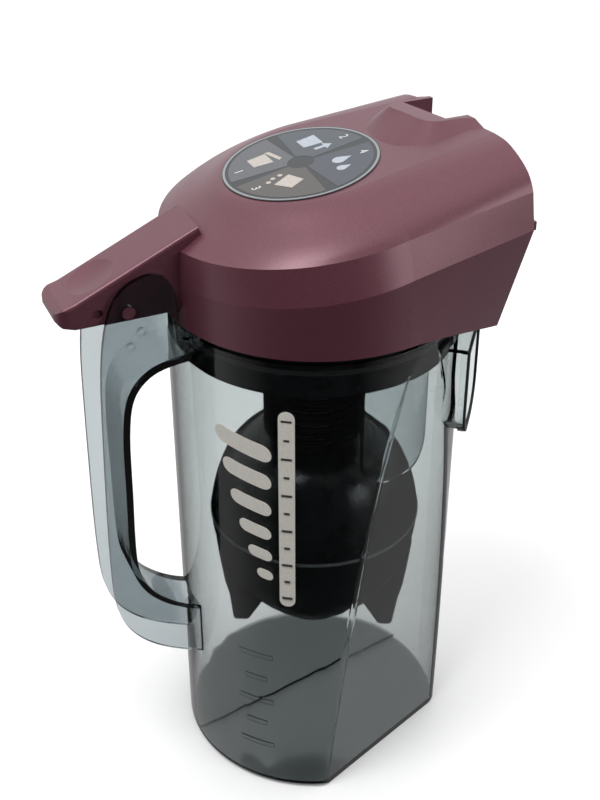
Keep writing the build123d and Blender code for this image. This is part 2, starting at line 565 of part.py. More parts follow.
with BuildSketch(Plane.XZ) as tongue_sk:
    with BuildLine():
        Polyline(*TONGUE_TOP, (TONGUE_ROOT_X, TONGUE_Z), close=True)
    make_face()
tongue = extrude(tongue_sk.sketch, amount=TONGUE_HALF, both=True)
tip_edges = tongue.edges().filter_by(Axis.Y).filter_by(lambda e: e.center().X < TONGUE_TIP_X + 8)
tongue = fillet(tip_edges, TIP_ROUND)
side_edges = tongue.edges().filter_by(lambda e: abs(abs(e.center().Y) - TONGUE_HALF) < 0.001)
top_edges = side_edges.filter_by(lambda e: e.center().X < EAR_FOOT_X + 7 and e.center().Z > TONGUE_Z + 0.5)
tongue = fillet(top_edges, TONGUE_ROUND)
plan = Box(TONGUE_ROOT_X - TONGUE_TIP_X, 2 * TONGUE_HALF, TOOL)
plan = Pos((TONGUE_TIP_X + TONGUE_ROOT_X) / 2, 0, PIVOT_Z) * plan
tongue &= fillet(plan.edges().filter_by(Axis.Z).group_by(Axis.X)[0], TIP_CORNER)
with BuildSketch(Plane.XZ) as hollow_sk:
    with BuildLine():
        Polyline(*TONGUE_HOLLOW, close=True)
    make_face()
hollow = extrude(hollow_sk.sketch, amount=TONGUE_HALF - TONGUE_WALL, both=True)
pad_tilt = math.atan2(TONGUE_TOP[1][1] - TONGUE_TOP[2][1], TONGUE_TOP[1][0] - TONGUE_TOP[2][0])
pad_at = Vector(PAD_X, 0, PAD_Z) + Vector(-math.sin(pad_tilt), 0, math.cos(pad_tilt)) * (PAD_R - PAD_DEPTH)

lid = lid_outer + tongue
lid += hump
lid -= slot_space(0, SLOT_Z)
with BuildSketch(Plane.XZ) as drop_sk:
    with BuildLine():
        Polyline((-TOOL, LID_Z), *LID_DROP, (2 * JUG_R_TOP, LID_DROP[-1][1] - LID_WALL),
                 (2 * JUG_R_TOP, 0), (-TOOL, 0), close=True)
    make_face()
lid -= extrude(drop_sk.sketch, amount=TOOL, both=True)
lid -= Pos(pad_at.X, pad_at.Y, pad_at.Z) * Rot(90, 0, 0) * Sphere(PAD_R)
for px, py in POST_AT:
    lid_inner -= Pos(px, py, BASE_Z + BASE_T + TOOL / 2) * Cylinder(POST_R, TOOL)
lid_inner -= slot_space(SLOT_WALL, SLOT_Z - LID_WALL)
lid -= lid_inner
lid -= hollow
for side in (1, -1):
    pin = Pos(PIVOT_X, side * (TONGUE_HALF - 1 + PIN_END_HALF) / 2, PIVOT_Z)
    lid += pin * Rot(90, 0, 0) * Cylinder(PIN_R, PIN_END_HALF - TONGUE_HALF + 1)
    hole = Pos(SIDE_HOLE_X, side * TONGUE_HALF, SIDE_HOLE_Z) * Rot(90, 0, 0)
    lid -= hole * Cylinder(SIDE_HOLE_R, SIDE_HOLE_D)
    tab_y = TAB_Y - FAR_SHARE * REAR_SKEW if side > 0 else -TAB_Y
    lid += Pos(rear_edge(tab_y), tab_y, TAB_Z) * Box(2 * TAB_OUT, TAB_W, TAB_W)
screw_tip = BASE_Z + SCREW_HEAD_H + SCREW_L
for px, py in POST_AT:
    lid -= Pos(px, py, (BASE_Z + screw_tip) / 2) * Cylinder(SCREW_R, screw_tip - BASE_Z + 1)
out_mid = (OUT_Z0 + OUT_Z1) / 2
out_h = OUT_Z1 - OUT_Z0
out_at = Pos(rear_edge(0), 0, out_mid) * Rot(0, 0, REAR_TURN)
lid -= out_at * Box(3 * OUT_IN, 2 * OUT_HALF, out_h)

# Lid floor with its seal and screws
floor_off = LID_WALL + BASE_FIT
base_rear = (FOOT_REAR_X - floor_off, FOOT_REAR_HALF - floor_off, FOOT_REAR_HALF - floor_off)
base_wire = lid_wire(BASE_Z, 0, MID_R - floor_off, BASE_HALF - floor_off, base_rear,
                     FOOT_REAR_MID - BASE_REAR_GAP, BASE_SKEW)
lid_base = extrude(make_face(base_wire.edges()), amount=BASE_T)
lid_base -= ring(BASE_HOLE_R, 0, BASE_Z - 1, BASE_Z + BASE_T + 1)
for px, py in POST_AT:
    lid_base -= Pos(px, py, BASE_Z + BASE_T / 2) * Cylinder(SCREW_R + SCREW_FIT, BASE_T + 2)
    lid_base -= Pos(px, py, BASE_Z) * Cylinder(SCREW_HEAD_R + SCREW_FIT, 2 * SCREW_HEAD_H)
lid_seal = ring(SEAL_OUT, SEAL_IN, COLLAR_TOP_Z, BASE_Z)
screw = Pos(0, 0, SCREW_HEAD_H / 2) * Cylinder(SCREW_HEAD_R, SCREW_HEAD_H)
screw += Pos(0, 0, SCREW_HEAD_H + SCREW_L / 2) * Cylinder(SCREW_R - SCREW_FIT, SCREW_L)
screw -= Box(SCREW_CROSS_W, SCREW_CROSS_L, SCREW_CROSS_D)
screw -= Box(SCREW_CROSS_L, SCREW_CROSS_W, SCREW_CROSS_D)
lid_screws = Compound(children=[Pos(px, py, BASE_Z) * screw for px, py in POST_AT])

# Filter cassette resting on the lid floor
frame_z = BASE_Z + BASE_T
frame_mid_x = (FRAME_X0 + FRAME_X1) / 2
frame_len = FRAME_X1 - FRAME_X0
frame = Pos(frame_mid_x, 0, frame_z + FRAME_H / 2) * Box(frame_len, 2 * FRAME_HALF, FRAME_H)
frame -= Pos(frame_mid_x, 0, frame_z + FRAME_H / 2 + FRAME_T) * Box(frame_len - 2 * FRAME_T,
                                                                   2 * (FRAME_HALF - FRAME_T), FRAME_H)
frame -= ring(BASE_HOLE_R, 0, frame_z - 1, frame_z + FRAME_T + 1)
foam_len = frame_len - 2 * FRAME_T - 2 * FILTER_FIT
foam_half = FRAME_HALF - FRAME_T - FILTER_FIT
foam = Pos(frame_mid_x, 0, frame_z + FRAME_T + FOAM_H / 2) * Box(foam_len, 2 * foam_half, FOAM_H)
pleat_z = frame_z + FRAME_T + FOAM_H
pitch = foam_len / PLEAT_N
low, high = [], []
for i in range(PLEAT_N * 2 + 1):
    x = frame_mid_x - foam_len / 2 + i * pitch / 2
    rise = PLEAT_H - PLEAT_T * 2 if i % 2 else 0
    low.append((x, pleat_z + rise))
    high.append((x, pleat_z + rise + PLEAT_T * 2))
with BuildSketch(Plane.XZ) as pleat_sk:
    with BuildLine():
        Polyline(*low, *high[::-1], close=True)
    make_face()
pleats = extrude(pleat_sk.sketch, amount=foam_half, both=True)

# Outlet duct through the lid's rear wall, with its rubber seal
duct_half = OUT_HALF - OUT_FIT
duct_h = out_h - 2 * OUT_FIT
duct = Pos((OUT_PROUD - OUT_IN) / 2, 0, 0) * Box(OUT_IN + OUT_PROUD, 2 * duct_half, duct_h)
duct -= Box(4 * OUT_IN, 2 * (duct_half - OUT_WALL), duct_h - 2 * OUT_WALL)
bar_gap = 2 * (duct_half - OUT_WALL) / (OUT_BAR_N + 1)
for i in range(OUT_BAR_N):
    y = -duct_half + OUT_WALL + bar_gap * (i + 1)
    duct += Pos(OUT_PROUD - OUT_BAR_BACK, y, 0) * Box(OUT_BAR_L, OUT_BAR_T, duct_h - OUT_WALL)
out_seal = Pos(OUT_PROUD + OUT_SEAL_T / 2, 0, 0) * Box(OUT_SEAL_T, 2 * duct_half, duct_h)
out_seal -= Pos(OUT_PROUD, 0, 0) * Box(4 * OUT_SEAL_T, 2 * (duct_half - OUT_WALL), duct_h - 2 * OUT_WALL)
duct = out_at * duct
out_seal = out_at * out_seal

# Round instruction label on the flat of the dome
label_tilt = math.degrees(math.atan(TOP_SLOPE))
label = Pos(LABEL_X, 0, TOP_K + TOP_SLOPE * LABEL_X) * Rot(0, -label_tilt, 0) * Pos(0, 0, LABEL_T / 2)
label = label * Cylinder(LABEL_R, LABEL_T)

pieces = {
    "jug_body": jug, "inlet_seal": inlet_seal, "inlet_deflector": deflector,
    "separator_collar": collar, "collar_gasket": gasket, "separator_grille": grille,
    "grille_mesh": mesh_sleeve, "separator_bell": bell, "seam_ring": seam_ring,
    "separator_cup": cup, "separator_screws": sep_screws,
    "lid_shell": lid, "lid_base": lid_base, "lid_seal": lid_seal, "lid_screws": lid_screws,
    "filter_frame": frame, "foam_filter": foam, "pleated_filter": pleats,
    "outlet_duct": duct, "outlet_seal": out_seal, "lid_label": label,
}
for name, piece in pieces.items():
    piece.label = name
    export_step(piece, "parts/" + name + ".step")
    print(name, round(piece.volume / 1000, 2), "cm3", len(piece.solids()), "solids", piece.is_valid)
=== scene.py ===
import math

import bmesh
import bpy
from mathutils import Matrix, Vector, noise


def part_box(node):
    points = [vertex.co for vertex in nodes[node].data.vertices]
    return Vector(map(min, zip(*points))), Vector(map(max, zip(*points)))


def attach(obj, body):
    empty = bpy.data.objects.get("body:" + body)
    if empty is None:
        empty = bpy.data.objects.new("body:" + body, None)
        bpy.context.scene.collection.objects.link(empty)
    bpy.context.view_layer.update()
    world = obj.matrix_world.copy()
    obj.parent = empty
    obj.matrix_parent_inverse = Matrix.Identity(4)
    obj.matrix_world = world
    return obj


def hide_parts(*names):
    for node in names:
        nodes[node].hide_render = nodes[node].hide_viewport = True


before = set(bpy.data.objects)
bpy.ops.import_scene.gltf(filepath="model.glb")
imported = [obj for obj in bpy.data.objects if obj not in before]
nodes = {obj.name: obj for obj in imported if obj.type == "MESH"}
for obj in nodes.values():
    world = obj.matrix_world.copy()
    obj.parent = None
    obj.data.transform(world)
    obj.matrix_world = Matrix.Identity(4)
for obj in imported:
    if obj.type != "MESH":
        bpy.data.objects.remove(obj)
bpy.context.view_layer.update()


# Jug: one clear smoke-grey moulding with wall, floor, docking facet, channel handle and inlet port.
# Injection-moulded in tinted see-through plastic; the tint is carried in the wall's depth, so edges
# and the handle's double walls look darker; painted shade darkens the colour towards the mouth and in the
# handle.
SMOKE_TINT = (0.110, 0.225, 0.255, 1.0)
SMOKE_DEPTH = 118.0
SMOKE_IOR = 1.49
LOW_SKIN = (0.99, 0.99, 0.985, 1.0)
# Painted shade: the upper wall's and the handle's base colours are darker than the clear low wall.
UPPER_WALL_SHADE = (0.885, 0.905, 0.895, 1.0)
PAINTED_SHADE_RISE = (0.060, 0.170)
HANDLE_PAINTED_SHADE = (0.61, 0.645, 0.66, 1.0)
HANDLE_SHADE_STARTS = (-0.058, -0.066)


def finish_of(name):
    """New material with its node tree and Principled shader at hand."""
    mat = bpy.data.materials.new(name)
    mat.use_nodes = True
    tree = mat.node_tree
    shader = tree.nodes["Principled BSDF"]
    return mat, tree, shader


def add_node(tree, kind, inputs=(), **settings):
    """Node of that kind with its settings and unlinked inputs set."""
    node = tree.nodes.new(kind)
    for key, value in settings.items():
        setattr(node, key, value)
    for key, value in dict(inputs).items():
        node.inputs[key].default_value = value
    return node


def object_noise(tree, scale, detail=3.0, rough=0.55, stretch=(1.0, 1.0, 1.0)):
    """Noise on the piece's own coordinates in metres, stretched along an axis where asked."""
    coords = add_node(tree, "ShaderNodeTexCoord")
    mapping = add_node(tree, "ShaderNodeMapping", {"Scale": stretch})
    grain = add_node(tree, "ShaderNodeTexNoise", {"Scale": scale, "Detail": detail, "Roughness": rough})
    tree.links.new(coords.outputs["Object"], mapping.inputs["Vector"])
    tree.links.new(mapping.outputs["Vector"], grain.inputs["Vector"])
    return grain


def spread(tree, source, low, high, start=0.0, end=1.0):
    """A node's value mapped from one range to another."""
    reach = add_node(tree, "ShaderNodeMapRange",
                     {"From Min": start, "From Max": end, "To Min": low, "To Max": high})
    tree.links.new(source, reach.inputs["Value"])
    return reach.outputs["Result"]


def bump_of(tree, shader, source, height, strength):
    """Surface relief from a node's value, height in metres."""
    relief = add_node(tree, "ShaderNodeBump", {"Strength": strength, "Distance": height})
    tree.links.new(source, relief.inputs["Height"])
    tree.links.new(relief.outputs["Normal"], shader.inputs["Normal"])


def smoke_plastic(name, tint, depth):
    """Clear tinted plastic: gloss skin with faint flow marks, colour by depth, painted shade towards the mouth
    and in the handle.
    """
    mat, tree, shader = finish_of(name)
    coords = add_node(tree, "ShaderNodeTexCoord")
    along = add_node(tree, "ShaderNodeSeparateXYZ")
    tree.links.new(coords.outputs["Object"], along.inputs["Vector"])
    # Painted shade: the base colour darkens from the low wall towards the mouth.
    shaded_wall = add_node(tree, "ShaderNodeMix", data_type="RGBA")
    shaded_wall.inputs["A"].default_value = LOW_SKIN
    shaded_wall.inputs["B"].default_value = UPPER_WALL_SHADE
    tree.links.new(spread(tree, along.outputs["Z"], 0.0, 1.0, *PAINTED_SHADE_RISE), shaded_wall.inputs["Factor"])
    # Painted shade: the base colour darkens further in the handle.
    shaded_skin = add_node(tree, "ShaderNodeMix", data_type="RGBA")
    tree.links.new(shaded_wall.outputs["Result"], shaded_skin.inputs["A"])
    shaded_skin.inputs["B"].default_value = HANDLE_PAINTED_SHADE
    tree.links.new(spread(tree, along.outputs["X"], 0.0, 1.0, *HANDLE_SHADE_STARTS), shaded_skin.inputs["Factor"])
    tree.links.new(shaded_skin.outputs["Result"], shader.inputs["Base Color"])
    shader.inputs["Transmission Weight"].default_value = 1.0
    shader.inputs["IOR"].default_value = SMOKE_IOR
    flow = object_noise(tree, scale=38.0, detail=2.0, rough=0.5, stretch=(1.0, 1.0, 0.25))
    tree.links.new(spread(tree, flow.outputs["Fac"], 0.015, 0.05), shader.inputs["Roughness"])
    bump_of(tree, shader, flow.outputs["Fac"], height=0.0006, strength=0.05)
    depth_tint = add_node(tree, "ShaderNodeVolumeAbsorption", {"Color": tint, "Density": depth})
    tree.links.new(depth_tint.outputs["Volume"], tree.nodes["Material Output"].inputs["Volume"])
    return mat


def dress(mat, *names):
    """Give CAD nodes a finish."""
    for n in names:
        nodes[n].data.materials.clear()
        nodes[n].data.materials.append(mat)


dress(smoke_plastic("smoke_plastic", SMOKE_TINT, SMOKE_DEPTH), "jug_body")


# Print on the jug: an off-white level scale and a stack of slanted bars on the front wall.
# Screen-printed ink on the outside of the wall, a tenth of a millimetre thick.
INK_COLOUR = (0.86, 0.83, 0.76, 1.0)
MARK_COLOUR = (0.035, 0.038, 0.042, 1.0)
INK_T = 0.12
INK_LIFT = 0.04
INK_CUT = 0.8
JUG_R_LOW, JUG_R_HIGH, JUG_TOP = 59.2, 60.0, 222.0
SCALE_TURN = math.radians(-124.84)
SCALE_Z0, SCALE_Z1, SCALE_W = 106.5, 201.5, 6.5
BARS_TURN = math.radians(-141.0)
BARS = [(-1.5, 183.0, 25.0, 7.6), (0.0, 169.5, 21.5, 7.2), (1.6, 156.0, 18.0, 6.6),
        (3.4, 143.5, 14.0, 6.0), (5.4, 132.0, 10.4, 5.4), (7.4, 121.6, 7.0, 4.8)]
BAR_SLANT = -0.22


def stadium(x, y, width, height, steps=9):
    """Outline of a round-ended bar."""
    r = min(width, height) / 2
    if width >= height:
        ends = [(x + width / 2 - r, y, -90.0), (x - width / 2 + r, y, 90.0)]
    else:
        ends = [(x, y + height / 2 - r, 0.0), (x, y - height / 2 + r, 180.0)]
    outline = []
    for cx, cy, start in ends:
        for i in range(steps):
            t = math.radians(start + 180.0 * i / (steps - 1))
            outline.append((cx + r * math.cos(t), cy + r * math.sin(t)))
    return outline


def flat_slab(outlines, base, thick, cut_every):
    """Mesh of flat shapes with a thickness, cut across X so that it can follow a round wall."""
    bm = bmesh.new()
    for outline in outlines:
        bm.faces.new([bm.verts.new((px, py, base)) for px, py in outline])
    if cut_every:
        low = min(v.co.x for v in bm.verts)
        high = max(v.co.x for v in bm.verts)
        x = low + cut_every
        while x < high:
            geom = bm.verts[:] + bm.edges[:] + bm.faces[:]
            bmesh.ops.bisect_plane(bm, geom=geom, plane_co=(x, 0, 0), plane_no=(1, 0, 0))
            x += cut_every
    bmesh.ops.recalc_face_normals(bm, faces=bm.faces[:])
    for face in bm.faces:
        if face.normal.z < 0:
            face.normal_flip()
    under = bm.faces[:]
    top = bmesh.ops.extrude_face_region(bm, geom=under)["geom"]
    for v in [g for g in top if isinstance(g, bmesh.types.BMVert)]:
        v.co.z += thick
    for face in under:
        if face.is_valid:
            face.normal_flip()
    bmesh.ops.recalc_face_normals(bm, faces=bm.faces[:])
    bmesh.ops.triangulate(bm, faces=[f for f in bm.faces if len(f.verts) > 4])
    return bm


def as_piece(bm, name, mat):
    """Finished object at the origin from a bmesh."""
    mesh = bpy.data.meshes.new(name)
    bm.to_mesh(mesh)
    bm.free()
    mesh.materials.append(mat)
    piece = bpy.data.objects.new(name, mesh)
    bpy.context.scene.collection.objects.link(piece)
    return piece


def wrap_on_jug(bm, turn):
    """Bend a flat millimetre drawing round the jug's wall, in metres."""
    for v in bm.verts:
        r = JUG_R_LOW + (JUG_R_HIGH - JUG_R_LOW) * v.co.y / JUG_TOP
        a = turn + v.co.x / r
        out = r + v.co.z
        v.co = Vector((out * math.cos(a), out * math.sin(a), v.co.y)) / 1000


def ink(name, colour, patchy):
    """Printed ink: matt, slightly uneven in tone."""
    mat, tree, shader = finish_of(name)
    cover = object_noise(tree, scale=900.0, detail=3.0)
    tone = add_node(tree, "ShaderNodeMix", data_type="RGBA")
    tone.inputs["A"].default_value = colour
    tone.inputs["B"].default_value = tuple(c * patchy for c in colour[:3]) + (1.0,)
    tree.links.new(spread(tree, cover.outputs["Fac"], 0.0, 1.0, 0.35, 0.7), tone.inputs["Factor"])
    tree.links.new(tone.outputs["Result"], shader.inputs["Base Color"])
    tree.links.new(spread(tree, cover.outputs["Fac"], 0.38, 0.55), shader.inputs["Roughness"])
    bump_of(tree, shader, cover.outputs["Fac"], height=0.00003, strength=0.4)
    return mat


print_ink = ink("print_ink", INK_COLOUR, 0.90)
mark_ink = ink("mark_ink", MARK_COLOUR, 1.6)

scale_mid = (SCALE_Z0 + SCALE_Z1) / 2
scale_bm = flat_slab([stadium(0.0, scale_mid, SCALE_W, SCALE_Z1 - SCALE_Z0)], INK_LIFT, INK_T, INK_CUT)
wrap_on_jug(scale_bm, SCALE_TURN)
scale_strip = as_piece(scale_bm, "jug_scale_strip", print_ink)
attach(scale_strip, "jug")

bar_shapes = []
for bx, bz, width, height in BARS:
    bar = stadium(0.0, 0.0, width, height)
    bar_shapes.append([(bx + px, bz + py + BAR_SLANT * px) for px, py in bar])
bars_bm = flat_slab(bar_shapes, INK_LIFT, INK_T, INK_CUT)
wrap_on_jug(bars_bm, BARS_TURN)
whirl_bars = as_piece(bars_bm, "jug_print_bars", print_ink)
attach(whirl_bars, "jug")


# Ticks of the level scale: short dark bars printed over the off-white strip at even steps.
# One row of long ticks and one of short ticks, laid out by rule along the strip.
TICK_H = 0.9
LONG_TICK = 4.2
SHORT_TICK = 2.2
TICK_STEP = 8.6
TICK_N = 11
TICK_T = 0.5
FIRST_TICK = SCALE_Z0 + 4.6


def new_tree(name, inputs):
    """Geometry Nodes tree with named inputs and one geometry output."""
    tree = bpy.data.node_groups.new(name, "GeometryNodeTree")
    tree.interface.new_socket("Geometry", in_out="OUTPUT", socket_type="NodeSocketGeometry")
    for label, kind in inputs:
        tree.interface.new_socket(label, in_out="INPUT", socket_type=kind)
    return tree, tree.nodes.new("NodeGroupInput"), tree.nodes.new("NodeGroupOutput")


def plain_mesh_of(tree, name, values, mat):
    """Run a tree on an empty mesh and keep the result as a plain mesh object."""
    carrier = bpy.data.objects.new(name + "_rule", bpy.data.meshes.new(name + "_rule"))
    bpy.context.scene.collection.objects.link(carrier)
    modifier = carrier.modifiers.new("rule", "NODES")
    modifier.node_group = tree
    for item in tree.interface.items_tree:
        if item.in_out == "INPUT" and item.name in values:
            modifier[item.identifier] = values[item.name]
    bpy.context.view_layer.update()
    graph = bpy.context.evaluated_depsgraph_get()
    mesh = bpy.data.meshes.new_from_object(carrier.evaluated_get(graph))
    carrier.modifiers.remove(modifier)
    bpy.data.objects.remove(carrier)
    mesh.name = name
    mesh.materials.clear()
    mesh.materials.append(mat)
    piece = bpy.data.objects.new(name, mesh)
    bpy.context.scene.collection.objects.link(piece)
    return piece


tick_inputs = [("Ticks", "NodeSocketInt"), ("Step", "NodeSocketFloat"), ("First", "NodeSocketFloat"),
               ("Length", "NodeSocketFloat"), ("Height", "NodeSocketFloat"), ("Thickness", "NodeSocketFloat"),
               ("Radius", "NodeSocketFloat"), ("Turn", "NodeSocketFloat"), ("Ink", "NodeSocketMaterial")]


def tick_row_tree():
    """Row of small bars, one above the other on a round wall."""
    tree, given, out = new_tree("tick_row", tick_inputs)
    link = tree.links.new
    step = add_node(tree, "ShaderNodeCombineXYZ")
    link(given.outputs["Step"], step.inputs["Z"])
    first = add_node(tree, "ShaderNodeCombineXYZ")
    link(given.outputs["Radius"], first.inputs["X"])
    link(given.outputs["First"], first.inputs["Z"])
    row = add_node(tree, "GeometryNodeMeshLine")
    link(given.outputs["Ticks"], row.inputs["Count"])
    link(first.outputs[0], row.inputs["Start Location"])
    link(step.outputs[0], row.inputs["Offset"])
    size = add_node(tree, "ShaderNodeCombineXYZ")
    link(given.outputs["Thickness"], size.inputs["X"])
    link(given.outputs["Length"], size.inputs["Y"])
    link(given.outputs["Height"], size.inputs["Z"])
    bar = add_node(tree, "GeometryNodeMeshCube")
    link(size.outputs[0], bar.inputs["Size"])
    place = add_node(tree, "GeometryNodeInstanceOnPoints")
    link(row.outputs["Mesh"], place.inputs["Points"])
    link(bar.outputs["Mesh"], place.inputs["Instance"])
    spin = add_node(tree, "ShaderNodeCombineXYZ")
    link(given.outputs["Turn"], spin.inputs["Z"])
    swing = add_node(tree, "GeometryNodeTransform")
    link(place.outputs["Instances"], swing.inputs["Geometry"])
    link(spin.outputs[0], swing.inputs["Rotation"])
    real = add_node(tree, "GeometryNodeRealizeInstances")
    link(swing.outputs["Geometry"], real.inputs["Geometry"])
    paint = add_node(tree, "GeometryNodeSetMaterial")
    link(real.outputs["Geometry"], paint.inputs["Geometry"])
    link(given.outputs["Ink"], paint.inputs["Material"])
    link(paint.outputs["Geometry"], out.inputs["Geometry"])
    return tree


tick_tree = tick_row_tree()
tick_r = (JUG_R_LOW + (JUG_R_HIGH - JUG_R_LOW) * scale_mid / JUG_TOP + INK_LIFT + INK_T) / 1000
for name, count, first, length in (
        ("scale_long_ticks", (TICK_N + 1) // 2, FIRST_TICK, LONG_TICK),
        ("scale_short_ticks", TICK_N // 2, FIRST_TICK + TICK_STEP, SHORT_TICK)):
    row = plain_mesh_of(tick_tree, name, {
        "Ticks": count, "Step": 2 * TICK_STEP / 1000, "First": first / 1000, "Length": length / 1000,
        "Height": TICK_H / 1000, "Thickness": TICK_T / 1000, "Radius": tick_r, "Turn": SCALE_TURN,
        "Ink": mark_ink}, mark_ink)
    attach(row, "jug")


# Inlet: a soft rubber frame pressed on the port's flange, and a curved clear panel behind the port.
# The rubber is moulded and fairly matt; the panel is the same smoke plastic, a little lighter.
RUBBER_BLACK = (0.020, 0.020, 0.022, 1.0)
RUBBER_ROUGH = 0.62
PANEL_TINT = (0.30, 0.40, 0.44, 1.0)
PANEL_DEPTH = 330.0


def soft_rubber(name, colour, rough):
    """Moulded rubber: matt, with a fine powdery grain."""
    mat, tree, shader = finish_of(name)
    grain = object_noise(tree, scale=1400.0, detail=4.0, rough=0.65)
    tone = add_node(tree, "ShaderNodeMix", data_type="RGBA")
    tone.inputs["A"].default_value = colour
    tone.inputs["B"].default_value = tuple(min(1.0, c * 1.7) for c in colour[:3]) + (1.0,)
    tree.links.new(spread(tree, grain.outputs["Fac"], 0.0, 1.0, 0.4, 0.75), tone.inputs["Factor"])
    tree.links.new(tone.outputs["Result"], shader.inputs["Base Color"])
    tree.links.new(spread(tree, grain.outputs["Fac"], rough - 0.08, rough + 0.1), shader.inputs["Roughness"])
    bump_of(tree, shader, grain.outputs["Fac"], height=0.00006, strength=0.5)
    return mat


black_rubber = soft_rubber("black_rubber", RUBBER_BLACK, RUBBER_ROUGH)
dress(black_rubber, "inlet_seal")
dress(smoke_plastic("deflector_plastic", PANEL_TINT, PANEL_DEPTH), "inlet_deflector")


# Separator: the collar that hangs in the jug's mouth, its gasket, the ribbed neck, the bell and the cup.
# Moulded in black plastic with a fine even texture and a soft gloss; the gasket is rubber.
COLLAR_TONE = (0.0065, 0.0074, 0.0090, 1.0)
COLLAR_ROUGH = (0.16, 0.28)


def black_plastic(name, colour, low, high):
    """Black moulding: deep colour, fine leathery texture, soft gloss with rubbed patches."""
    mat, tree, shader = finish_of(name)
    texture = object_noise(tree, scale=2600.0, detail=2.0, rough=0.5)
    rub = object_noise(tree, scale=55.0, detail=4.0, rough=0.6)
    tone = add_node(tree, "ShaderNodeMix", data_type="RGBA")
    tone.inputs["A"].default_value = colour
    tone.inputs["B"].default_value = tuple(c * 1.5 + 0.002 for c in colour[:3]) + (1.0,)
    tree.links.new(spread(tree, rub.outputs["Fac"], 0.0, 1.0, 0.4, 0.75), tone.inputs["Factor"])
    tree.links.new(tone.outputs["Result"], shader.inputs["Base Color"])
    tree.links.new(spread(tree, rub.outputs["Fac"], low, high), shader.inputs["Roughness"])
    shader.inputs["Specular IOR Level"].default_value = 0.3
    bump_of(tree, shader, texture.outputs["Fac"], height=0.00004, strength=0.35)
    return mat


black_gloss = black_plastic("black_plastic", COLLAR_TONE, *COLLAR_ROUGH)
dress(black_gloss, "separator_collar", "separator_grille", "separator_bell", "separator_cup")
dress(black_rubber, "collar_gasket")


# Mesh sleeve inside the ribbed neck: fine woven steel wire, rolled to a tube.
# Upright wires and hoops are laid out by rule, as they are woven.
WIRE_N = 90
HOOP_N = 42
WIRE_T = 0.16
WIRE_TONE = (0.30, 0.31, 0.32, 1.0)
WIRE_ROUGH = (0.3, 0.5)
WIRE_MARKS = 1800.0


def wire_sleeve_tree():
    """Tube of upright wires and hoops."""
    tree, given, out = new_tree("wire_sleeve", [
        ("Radius", "NodeSocketFloat"), ("Bottom", "NodeSocketFloat"), ("Top", "NodeSocketFloat"),
        ("Wires", "NodeSocketInt"), ("Hoops", "NodeSocketInt"), ("Wire radius", "NodeSocketFloat"),
        ("Finish", "NodeSocketMaterial")])
    link = tree.links.new
    section = add_node(tree, "GeometryNodeCurvePrimitiveCircle", {"Resolution": 5})
    link(given.outputs["Wire radius"], section.inputs["Radius"])
    low = add_node(tree, "ShaderNodeCombineXYZ")
    high = add_node(tree, "ShaderNodeCombineXYZ")
    link(given.outputs["Bottom"], low.inputs["Z"])
    link(given.outputs["Top"], high.inputs["Z"])
    upright = add_node(tree, "GeometryNodeCurvePrimitiveLine")
    link(low.outputs[0], upright.inputs["Start"])
    link(high.outputs[0], upright.inputs["End"])
    rod = add_node(tree, "GeometryNodeCurveToMesh", {"Fill Caps": True})
    link(upright.outputs[0], rod.inputs["Curve"])
    link(section.outputs[0], rod.inputs["Profile Curve"])
    ring = add_node(tree, "GeometryNodeMeshCircle")
    link(given.outputs["Wires"], ring.inputs["Vertices"])
    link(given.outputs["Radius"], ring.inputs["Radius"])
    fence = add_node(tree, "GeometryNodeInstanceOnPoints")
    link(ring.outputs["Mesh"], fence.inputs["Points"])
    link(rod.outputs["Mesh"], fence.inputs["Instance"])
    hoop = add_node(tree, "GeometryNodeCurvePrimitiveCircle", {"Resolution": 72})
    link(given.outputs["Radius"], hoop.inputs["Radius"])
    hoop_rod = add_node(tree, "GeometryNodeCurveToMesh")
    link(hoop.outputs[0], hoop_rod.inputs["Curve"])
    link(section.outputs[0], hoop_rod.inputs["Profile Curve"])
    stack = add_node(tree, "GeometryNodeMeshLine", mode="END_POINTS")
    link(given.outputs["Hoops"], stack.inputs["Count"])
    link(low.outputs[0], stack.inputs["Start Location"])
    link(high.outputs[0], stack.inputs["Offset"])
    hoops = add_node(tree, "GeometryNodeInstanceOnPoints")
    link(stack.outputs["Mesh"], hoops.inputs["Points"])
    link(hoop_rod.outputs["Mesh"], hoops.inputs["Instance"])
    both = add_node(tree, "GeometryNodeJoinGeometry")
    link(fence.outputs["Instances"], both.inputs["Geometry"])
    link(hoops.outputs["Instances"], both.inputs["Geometry"])
    real = add_node(tree, "GeometryNodeRealizeInstances")
    link(both.outputs["Geometry"], real.inputs["Geometry"])
    paint = add_node(tree, "GeometryNodeSetMaterial")
    link(real.outputs["Geometry"], paint.inputs["Geometry"])
    link(given.outputs["Finish"], paint.inputs["Material"])
    link(paint.outputs["Geometry"], out.inputs["Geometry"])
    return tree


def drawn_steel(name, colour, low, high, scale):
    """Plain steel: metal with fine draw marks."""
    mat, tree, shader = finish_of(name)
    shader.inputs["Metallic"].default_value = 1.0
    marks = object_noise(tree, scale, detail=3.0, rough=0.6, stretch=(1.0, 1.0, 4.0))
    tone = add_node(tree, "ShaderNodeMix", data_type="RGBA")
    tone.inputs["A"].default_value = colour
    tone.inputs["B"].default_value = tuple(c * 0.75 for c in colour[:3]) + (1.0,)
    tree.links.new(marks.outputs["Fac"], tone.inputs["Factor"])
    tree.links.new(tone.outputs["Result"], shader.inputs["Base Color"])
    tree.links.new(spread(tree, marks.outputs["Fac"], low, high), shader.inputs["Roughness"])
    return mat


